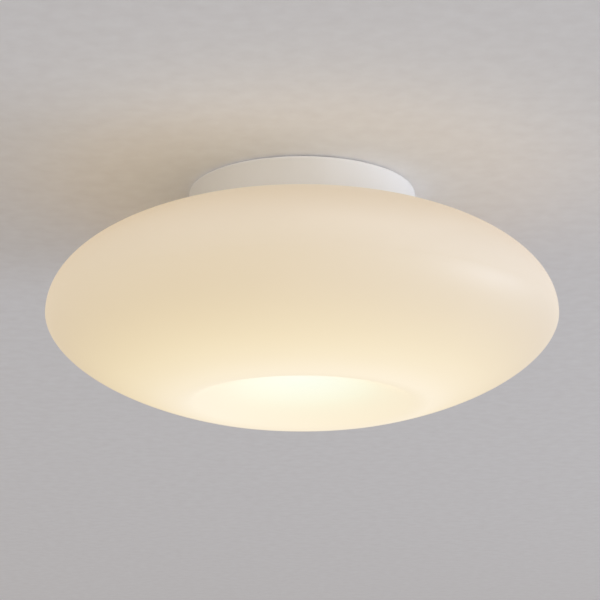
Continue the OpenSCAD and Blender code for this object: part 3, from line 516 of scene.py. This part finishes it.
def striped_sleeve():
    """Green wire sleeve with diagonal yellow stripes."""
    material, tree, shader = patchy_finish(
        "green_yellow_wire_sleeve", ("#3F8F2C", "#4B9C34"), 6, 0.5, 0.01, (0.32, 0.42), PLASTIC
    )
    place = add(tree, "ShaderNodeTexCoord").outputs["Object"]
    scale = 2 * math.pi / (10 * math.sqrt(3) * STRIPE_MM * MM)
    bands = add(
        tree,
        "ShaderNodeTexWave",
        {"Vector": place, "Scale": scale, "Distortion": 0.0},
        wave_type="BANDS",
        bands_direction="DIAGONAL",
    )
    yellow = add(
        tree, "ShaderNodeMath", {0: bands.outputs["Fac"], 1: STRIPE_FROM}, operation="GREATER_THAN"
    )
    green = shader.inputs["Base Color"].links[0].from_socket
    colour = add(tree, "ShaderNodeMix", {"Factor": yellow.outputs[0], "A": green}, data_type="RGBA")
    colour.inputs["B"].default_value = linear("#E2C433")
    tree.links.new(colour.outputs["Result"], shader.inputs["Base Color"])
    return material


finishes["earth_insulation"] = striped_sleeve()
print("stripes every", STRIPE_MM, "mm")

# %% [markdown]
# ## Bare metals
# Drawn, turned and plated metals show fine lines or clouded plating rather than a mirror. The
# same patchy finish gives that when the noise is stretched along one axis, and Metallic is 1 so
# that the colour tints the reflection. The index of refraction stays at its default for a metal.

# %% Metals
METAL = {"Metallic": 1.0}
TURNED, ROLLED, CLOUDED = (1, 1, 6), (1, 1, 0.2), (1, 1, 1)
# for each slot: name, two colours, patch, grain and depth in mm, roughness, direction of its lines
METALS = {
    "brass": (
        "turned_brass", ("#C8A04E", "#D6B264"), 3, 0.3, 0.006, (0.24, 0.36), TURNED
    ),
    "bronze": (
        "spring_bronze", ("#B07C48", "#C08D58"), 4, 0.3, 0.006, (0.28, 0.4), CLOUDED
    ),
    "shell_metal": (
        "nickel_plated_brass", ("#BDB7A6", "#CBC6B6"), 4, 0.4, 0.004, (0.2, 0.32), CLOUDED
    ),
    "cap_metal": (
        "nickel_plated_cap", ("#C2C1BD", "#D0CFCC"), 5, 0.4, 0.004, (0.18, 0.3), CLOUDED
    ),
    "zinc_steel": (
        "zinc_plated_steel", ("#B3B6B4", "#C6C4B4"), 3, 0.35, 0.006, (0.28, 0.42), CLOUDED
    ),
    "rivet_steel": (
        "plated_rivet_steel", ("#A2A5A8", "#B2B4B5"), 2, 0.3, 0.006, (0.3, 0.42), CLOUDED
    ),
    "spring_steel": (
        "rolled_spring_steel", ("#9EA2A8", "#B0B4B8"), 4, 0.25, 0.006, (0.24, 0.38), ROLLED
    ),
    "tinned_copper": (
        "tinned_copper", ("#B9B8B2", "#C8C6BF"), 2, 0.3, 0.006, (0.3, 0.42), CLOUDED
    ),
}
for slot, (*look, lines) in METALS.items():
    finishes[slot] = patchy_finish(*look, METAL, lines)[0]
print("metals:", [finishes[slot].name for slot in METALS])

# %% [markdown]
# ## The lamps' glow
# The globe of a lamp is thin opal glass over its light source, so it is the brightest thing here:
# a nearly white glow, a little warmer where the glass curves away towards the collar. The glow
# follows the height below the ceiling, because all three lamps hang alike.

# %% Lamp glass
globe_low, globe_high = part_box("bulb_globe_1")


def lamp_glass():
    """Lit opal lamp glass, warmer towards the collar."""
    material, tree, shader = patchy_finish(
        "lit_lamp_glass", ("#BDB9B0", "#C4C0B8"), 20, 0.6, 0.003, (0.2, 0.28), {"IOR": 1.5}
    )
    place = add(tree, "ShaderNodeTexCoord").outputs["Object"]
    height = add(tree, "ShaderNodeSeparateXYZ", {0: place})
    share = add(tree, "ShaderNodeMapRange", {"Value": height.outputs["Z"]})
    share.inputs["From Min"].default_value = globe_low.z
    share.inputs["From Max"].default_value = globe_high.z
    glow = add(tree, "ShaderNodeMix", {"Factor": share.outputs["Result"]}, data_type="RGBA")
    glow.inputs["A"].default_value = linear("#DCD2B6")
    glow.inputs["B"].default_value = linear("#CDB88C")
    tree.links.new(glow.outputs["Result"], shader.inputs["Emission Color"])
    shader.inputs["Emission Strength"].default_value = 1.0
    return material


finishes["lamp_glass"] = lamp_glass()
print("lamp globe from", round(globe_low.z / MM, 1), "to", round(globe_high.z / MM, 1), "mm")

# %% [markdown]
# ## Rivets round the axis
# Each spring clip is held by a pair of steel rivets with low domed heads on both sides of the
# sheet. Six separate objects could be modelled, but one rivet and a rule for its copies says more:
# a second tree takes the one rivet, makes two points for each clip, and turns them round Z. Realize
# Instances makes the copies real geometry, because instances would be lost in an export.

# %% The tree of copies
RING_INPUTS = {
    "Clips": "NodeSocketInt",
    "First angle": "NodeSocketFloat",
    "Circle radius": "NodeSocketFloat",
    "Pair gap": "NodeSocketFloat",
    "Finish": "NodeSocketMaterial",
}


def ring_tree():
    """Places pairs of copies of the input at equal angles round Z."""
    tree, given = new_tree("pairs_round_axis", RING_INPUTS)
    value = {title: given[title] for title in RING_INPUTS}
    value["index"] = add(tree, "GeometryNodeInputIndex").outputs["Index"]
    for name, operation, *inputs in (
        ("count", "MULTIPLY", "Clips", 2.0),
        ("side", "MODULO", "index", 2.0),
        ("centred", "SUBTRACT", "side", 0.5),
        ("across", "MULTIPLY", "centred", "Pair gap"),
        ("half", "DIVIDE", "index", 2.0),
        ("clip", "FLOOR", "half"),
        ("step", "DIVIDE", 2 * math.pi, "Clips"),
        ("angle", "MULTIPLY_ADD", "clip", "step", "First angle"),
    ):
        sockets = {k: value.get(item, item) for k, item in enumerate(inputs)}
        value[name] = add(tree, "ShaderNodeMath", sockets, operation=operation).outputs[0]
    spot = add(tree, "ShaderNodeCombineXYZ", {"X": given["Circle radius"], "Y": value["across"]})
    turned = add(
        tree,
        "ShaderNodeVectorRotate",
        {"Vector": spot.outputs[0], "Angle": value["angle"]},
        rotation_type="Z_AXIS",
    )
    spots = {"Count": value["count"], "Position": turned.outputs[0]}
    points = add(tree, "GeometryNodePoints", spots)
    copies = add(
        tree,
        "GeometryNodeInstanceOnPoints",
        {"Points": points.outputs[0], "Instance": given["Geometry"]},
    )
    real = add(tree, "GeometryNodeRealizeInstances", {"Geometry": copies.outputs[0]})
    done = add(
        tree,
        "GeometryNodeSetMaterial",
        {"Geometry": real.outputs["Geometry"], "Material": given["Finish"]},
    )
    add(tree, "NodeGroupOutput", {"Geometry": done.outputs["Geometry"]})
    return tree


RING = ring_tree()
print("inputs of the tree of copies:", list(RING_INPUTS))

# %% [markdown]
# The rivet itself is spun from an outline like the glass. Its two heads are shallow domes over a
# short upright edge, and the solid's box gives the heights and the circle that the rivets sit on.

# %% Rivets of the spring clips
RIVET_R, HEAD_R, HEAD_H, HEAD_EDGE, RIVET_GAP = 1.5, 2.7, 1.0, 0.3, 7.0
CLIPS, FIRST_CLIP = 3, 30
rivets_low, rivets_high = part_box("clip_rivets")
rivet_low, rivet_high = rivets_low.z / MM, rivets_high.z / MM
dome_rise = HEAD_H - HEAD_EDGE
dome_round = (HEAD_R**2 + dome_rise**2) / (2 * dome_rise)
dome_spread = math.degrees(math.asin(HEAD_R / dome_round))
rivet_outline = (
    arc((0, rivet_low + dome_round), dome_round, -90, dome_spread - 90, 6)
    + [(HEAD_R, rivet_low + HEAD_H), (RIVET_R, rivet_low + HEAD_H)]
    + [(RIVET_R, rivet_high - HEAD_H), (HEAD_R, rivet_high - HEAD_H)]
    + arc((0, rivet_high - dome_round), dome_round, 90 - dome_spread, 90, 6)
)
rivets = spun_piece("domed_clip_rivets", rivet_outline, finishes["rivet_steel"], segments=32)
check_closed(rivets)
pattern = {
    "Clips": CLIPS,
    "First angle": math.radians(FIRST_CLIP),
    "Circle radius": -rivets_low.y - HEAD_R * MM,
    "Pair gap": RIVET_GAP * MM,
    "Finish": finishes["rivet_steel"],
}
run_tree(rivets, RING, pattern)
smooth(rivets)
check_closed(rivets)
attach(rivets, "fixture")
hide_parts("clip_rivets")

# %% [markdown]
# ## Rolled threads
# A lamp's screw cap and the shell of its lampholder are thin metal rolled into a round thread of
# a coarse pitch. On a spun wall that is one wave: the surface moves towards the axis by a depth
# that follows the height less the turn round the axis. The tree fades the wave in and out at both
# ends. The cap and the shell share one phase and one upper end, so that one lies in the other.

# %% The thread tree
THREAD_PITCH, THREAD_DEPTH, THREAD_FADE = 3.62, 0.9, 2.0
THREAD_INPUTS = {
    "Pitch": "NodeSocketFloat",
    "Depth": "NodeSocketFloat",
    "Fade": "NodeSocketFloat",
    "Top": "NodeSocketFloat",
    "Bottom": "NodeSocketFloat",
    "Least radius": "NodeSocketFloat",
}


def thread_tree():
    """Moves a spun wall towards the Z axis along a helical wave."""
    tree, given = new_tree("rolled_thread", THREAD_INPUTS)
    position = add(tree, "GeometryNodeInputPosition").outputs["Position"]
    axes = add(tree, "ShaderNodeSeparateXYZ", {0: position}).outputs
    flat = add(tree, "ShaderNodeCombineXYZ", {"X": axes["X"], "Y": axes["Y"]}).outputs[0]
    radius = add(tree, "ShaderNodeVectorMath", {0: flat}, operation="LENGTH").outputs["Value"]
    value = {title: given[title] for title in THREAD_INPUTS}
    value |= {"x": axes["X"], "y": axes["Y"], "z": axes["Z"], "radius": radius}
    for name, operation, *inputs in (
        ("turn", "ARCTAN2", "y", "x"),
        ("pitches", "DIVIDE", "z", "Pitch"),
        ("climb", "MULTIPLY", "pitches", 2 * math.pi),
        ("phase", "SUBTRACT", "climb", "turn"),
        ("cosine", "COSINE", "phase"),
        ("wave", "MULTIPLY_ADD", "cosine", -0.5, 0.5),
        ("from_top", "SUBTRACT", "Top", "z"),
        ("from_bottom", "SUBTRACT", "z", "Bottom"),
        ("from_end", "MINIMUM", "from_top", "from_bottom"),
        ("faded", "DIVIDE", "from_end", "Fade"),
        ("not_over", "MINIMUM", "faded", 1.0),
        ("share", "MAXIMUM", "not_over", 0.0),
        ("on_wall", "GREATER_THAN", "radius", "Least radius"),
        ("wall_share", "MULTIPLY", "on_wall", "share"),
        ("rolled", "MULTIPLY", "wave", "wall_share"),
        ("depth", "MULTIPLY", "rolled", "Depth"),
        ("outwards", "MULTIPLY", "depth", -1.0),
    ):
        sockets = {k: value.get(item, item) for k, item in enumerate(inputs)}
        value[name] = add(tree, "ShaderNodeMath", sockets, operation=operation).outputs[0]
    heading = add(tree, "ShaderNodeVectorMath", {0: flat}, operation="NORMALIZE").outputs[0]
    push = {0: heading, "Scale": value["outwards"]}
    shift = add(tree, "ShaderNodeVectorMath", push, operation="SCALE").outputs[0]
    moved = add(tree, "GeometryNodeSetPosition", {"Geometry": given["Geometry"], "Offset": shift})
    add(tree, "NodeGroupOutput", {"Geometry": moved.outputs["Geometry"]})
    return tree


THREAD = thread_tree()
print("thread pitch", THREAD_PITCH, "mm, depth", THREAD_DEPTH, "mm")

# %% [markdown]
# ## Screw caps and shells
# Rows of points 0.3 mm apart carry the wave. The cap is spun as a closed plug and the shell as a
# thin tube. Both are threaded on the axis of the light and then carried out to their lampholder.

# %% Caps of the lamps and shells of the lampholders
holder_places = []
for n in (1, 2, 3):
    low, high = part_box(f"holder_sleeve_{n}")
    holder_places.append(Vector(((low.x + high.x) / 2, (low.y + high.y) / 2, 0)))
print("lampholders at", [(round(p.x / MM, 1), round(p.y / MM, 1)) for p in holder_places])
cap_low, cap_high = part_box("bulb_cap_1")
CAP_R = (cap_high.x - cap_low.x) / 2 / MM
CAP_TOP, CAP_BOTTOM = cap_high.z / MM, cap_low.z / MM
sleeve_low, sleeve_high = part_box("holder_sleeve_1")
SHELL_R = (sleeve_high.x - sleeve_low.x) / 2 / MM
SHELL_TOP, SHELL_BOTTOM = sleeve_high.z / MM, sleeve_low.z / MM
SHELL_WALL = 0.4
ROW = 0.3


def rows(r, start, end):
    """Points down or up an upright wall, close enough together to carry a thread."""
    count = max(int(abs(end - start) / ROW), 1)
    return [(r, start + (end - start) * k / count) for k in range(count + 1)]


THREAD_CREASE, THREAD_SEGMENTS = 50, 96


def threaded(piece, top, bottom, least_r):
    """Rolls the thread into a piece spun on the Z axis."""
    values = {
        "Pitch": THREAD_PITCH * MM,
        "Depth": THREAD_DEPTH * MM,
        "Fade": THREAD_FADE * MM,
        "Top": top * MM,
        "Bottom": bottom * MM,
        "Least radius": least_r * MM,
    }
    run_tree(piece, THREAD, values)
    smooth(piece, THREAD_CREASE)


def carried(piece, place, body, node):
    """Moves a piece's mesh to its place and says what it rides on and replaces."""
    piece.data.transform(Matrix.Translation(place))
    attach(piece, body)
    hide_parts(node)


CAP_ROUND, CAP_INSET = 1.5, 3.5
cap_outline = apart(
    [(0, CAP_BOTTOM)]
    + rows(CAP_R, CAP_BOTTOM, CAP_TOP - CAP_ROUND)
    + arc((CAP_R - CAP_ROUND, CAP_TOP - CAP_ROUND), CAP_ROUND, 0, 90, 8)
    + [(CAP_R - CAP_INSET, CAP_TOP), (0, CAP_TOP)]
)
shell_outline = apart(
    rows(SHELL_R - SHELL_WALL, SHELL_TOP, SHELL_BOTTOM)
    + rows(SHELL_R, SHELL_BOTTOM, SHELL_TOP)
    + [(SHELL_R - SHELL_WALL, SHELL_TOP)]
)
rounding = (THREAD_SEGMENTS, THREAD_CREASE)
for n, place in enumerate(holder_places, 1):
    cap = spun_piece(f"threaded_cap_{n}", cap_outline, finishes["cap_metal"], *rounding)
    threaded(cap, CAP_TOP - CAP_ROUND, CAP_BOTTOM + CAP_ROUND, CAP_R - CAP_ROUND)
    carried(cap, place, f"bulb_{n}", f"bulb_cap_{n}")
    shell = spun_piece(f"threaded_shell_{n}", shell_outline, finishes["shell_metal"], *rounding)
    threaded(shell, CAP_TOP - CAP_ROUND, SHELL_BOTTOM, 0)
    carried(shell, place, "fixture", f"holder_sleeve_{n}")
    if n == 1:
        check_closed(cap)
        check_closed(shell)

# %% [markdown]
# ## Finishes for the solids that stay
# The other solids already have the right shape. Each gets the finish of its material slot in
# place of the plain one that it was packed with.

# %% Finish each solid by its slot
replaced = {"glass_shade", "clip_rivets"}
replaced |= {f"{kind}_{n}" for kind in ("bulb_cap", "holder_sleeve") for n in (1, 2, 3)}
for part in frame["record"]["subparts"]:
    node = frame["nodes"].get(part["node"])
    if node and part["node"] not in replaced:
        node.data.materials.clear()
        node.data.materials.append(finishes[part["material_slot"]])
print("solids with their own finish:", len(frame["nodes"]) - len(replaced))

# %% [markdown]
# ## The ceiling
# A ceiling light is looked at from below against its ceiling, so the stage is one pale painted
# plane just above the canopy. From above it would hide the light, so its back lets the camera
# through, and lamps above it may shine through it. Its underside is matt paint over plaster, whose
# faint patches are a few millimetres wide, and it keeps the light's soft shadow.

# %% Ceiling plane
CEILING_HALF = 8.0
CEILING_GAP = 1.6 * MM
PLASTER_PATCH = 14.0


def ceiling_paint():
    """Matt paint that only the camera and the lamps above can pass, from its back."""
    material = bpy.data.materials.new("matt_ceiling_paint")
    material.use_nodes = True
    tree = material.node_tree
    tree.nodes.clear()
    place = add(tree, "ShaderNodeTexCoord").outputs["Object"]
    noise = {"Vector": place, "Scale": 1 / (PLASTER_PATCH * MM), "Detail": 4.0}
    patches = add(tree, "ShaderNodeTexNoise", noise)
    colour = add(tree, "ShaderNodeMix", {"Factor": patches.outputs["Fac"]}, data_type="RGBA")
    colour.inputs["A"].default_value = linear("#E9E5E1")
    colour.inputs["B"].default_value = linear("#F5F3F0")
    look = {"Base Color": colour.outputs["Result"], "Roughness": 0.9}
    paint = add(tree, "ShaderNodeBsdfPrincipled", look)
    clear = add(tree, "ShaderNodeBsdfTransparent")
    light_path = add(tree, "ShaderNodeLightPath").outputs
    back = add(tree, "ShaderNodeNewGeometry").outputs["Backfacing"]
    from_above = {0: light_path["Is Camera Ray"], 1: back}
    seen_from_above = add(tree, "ShaderNodeMath", from_above, operation="MULTIPLY").outputs[0]
    either = {0: light_path["Is Shadow Ray"], 1: seen_from_above}
    passes = add(tree, "ShaderNodeMath", either, operation="MAXIMUM").outputs[0]
    mixed = add(tree, "ShaderNodeMixShader", {0: passes, 1: paint.outputs[0], 2: clear.outputs[0]})
    add(tree, "ShaderNodeOutputMaterial", {"Surface": mixed.outputs[0]})
    return material


corners = [(-1, -1), (-1, 1), (1, 1), (1, -1)]
ceiling_mesh = bpy.data.meshes.new("ceiling")
ceiling_mesh.from_pydata(
    [(x * CEILING_HALF, y * CEILING_HALF, CEILING_GAP) for x, y in corners], [], [(0, 1, 2, 3)]
)
ceiling_mesh.materials.append(ceiling_paint())
ceiling = bpy.data.objects.new("ceiling", ceiling_mesh)
bpy.context.scene.collection.objects.link(ceiling)
ceiling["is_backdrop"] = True
print("plaster patches", PLASTER_PATCH, "mm")
print("the ceiling faces", [round(c, 1) for c in ceiling_mesh.polygons[0].normal])

# %% [markdown]
# ## Light
# The photograph was taken by daylight from in front, with more of it from the right. So the world
# is a soft room: warm white in front of the light, where the camera stands, and a dim blue behind
# it. It is written as two colours that blend from back to front, and the lamps come after it.

# %% World
ROOM_BACK, ROOM_FRONT, BACKDROP = "#7C8297", "#E6DFD3", "#DAD6D0"
world = bpy.data.worlds.new("soft_room")
world.use_nodes = True
sky = world.node_tree
sky.nodes.clear()
seen = add(sky, "ShaderNodeLightPath").outputs["Is Camera Ray"]
heading = add(sky, "ShaderNodeTexCoord").outputs["Generated"]
to_back = add(sky, "ShaderNodeSeparateXYZ", {0: heading}).outputs["Y"]
half = {0: to_back, 1: -0.5, 2: 0.5}
to_front = add(sky, "ShaderNodeMath", half, operation="MULTIPLY_ADD").outputs[0]
tint = add(sky, "ShaderNodeMix", {"Factor": to_front}, data_type="RGBA")
tint.inputs["A"].default_value = linear(ROOM_BACK)
tint.inputs["B"].default_value = linear(ROOM_FRONT)
room = add(sky, "ShaderNodeBackground", {"Color": tint.outputs["Result"], "Strength": 1.0})
backdrop = add(sky, "ShaderNodeBackground", {"Color": linear(BACKDROP), "Strength": 1.0})
shown = add(sky, "ShaderNodeMixShader", {0: seen, 1: room.outputs[0], 2: backdrop.outputs[0]})
add(sky, "ShaderNodeOutputWorld", {"Surface": shown.outputs[0]})
bpy.context.scene.world = world
for side, colour in (("back", ROOM_BACK), ("front", ROOM_FRONT)):
    print("the room's", side, "in linear light:", [round(c, 2) for c in linear(colour)[:3]])

# %% [markdown]
# A square lamp stands on the right, a little below the ceiling, like a window there: it lights
# the right flank of the glass and leaves the soft shadow on the left of the canopy. A second lamp
# above the ceiling lights what views from above show.

# %% Lamps
middle = Vector((0, 0, WIDEST_Z * MM))


def soft_lamp(name, place, size, power, colour):
    """A square area lamp that faces the light."""
    data = bpy.data.lights.new(name, "AREA")
    data.energy = power
    data.size = size
    data.color = linear(colour)[:3]
    lamp = bpy.data.objects.new(name, data)
    lamp.location = place
    lamp.rotation_euler = (middle - lamp.location).to_track_quat("-Z", "Y").to_euler()
    bpy.context.scene.collection.objects.link(lamp)


soft_lamp("window_on_the_right", place=(4.2, -0.28, -1.3), size=2.35, power=76, colour="#CEE1FF")
soft_lamp("lamp_above", place=(0.8, -1.0, 2.4), size=1.6, power=20, colour="#EEF2FF")

# %% [markdown]
# ## The camera
# The photograph looks up at the light. The ellipse of the canopy's rim gives the angle, and how
# much wider the near side looks than the far side gives the distance, four shade diameters. The
# camera aims a little above the middle of the shade, as the photograph does.

# %% Camera at the photograph's angle
CAMERA_DISTANCE = 1.6
CAMERA_BELOW = 15.7
LENS_MM = 122.5
AIM_ABOVE, AIM_LEFT = 0.0162, 0.0016
camera_data = bpy.data.cameras.new("camera")
camera_data.lens = LENS_MM
camera = bpy.data.objects.new("camera", camera_data)
below = math.radians(CAMERA_BELOW)
camera.location = middle - CAMERA_DISTANCE * Vector((0, math.cos(below), math.sin(below)))
screen_up = Vector((0, -math.sin(below), math.cos(below)))
aim = middle + AIM_ABOVE * screen_up - Vector((AIM_LEFT, 0, 0))
camera.rotation_euler = (aim - camera.location).to_track_quat("-Z", "Y").to_euler()
bpy.context.scene.collection.objects.link(camera)
bpy.context.scene.camera = camera
bpy.context.scene.view_settings.view_transform = "Standard"
print("camera at", [round(c, 3) for c in camera.location])

# %% Print how much the look grew past the solids
look_low, look_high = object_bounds()
cad_size = [high - low for low, high in zip(cad_low, cad_high)]
look_size = [high - low for low, high in zip(look_low, look_high)]
print("grown by mm:", [round((look - cad) / MM, 3) for cad, look in zip(cad_size, look_size)])
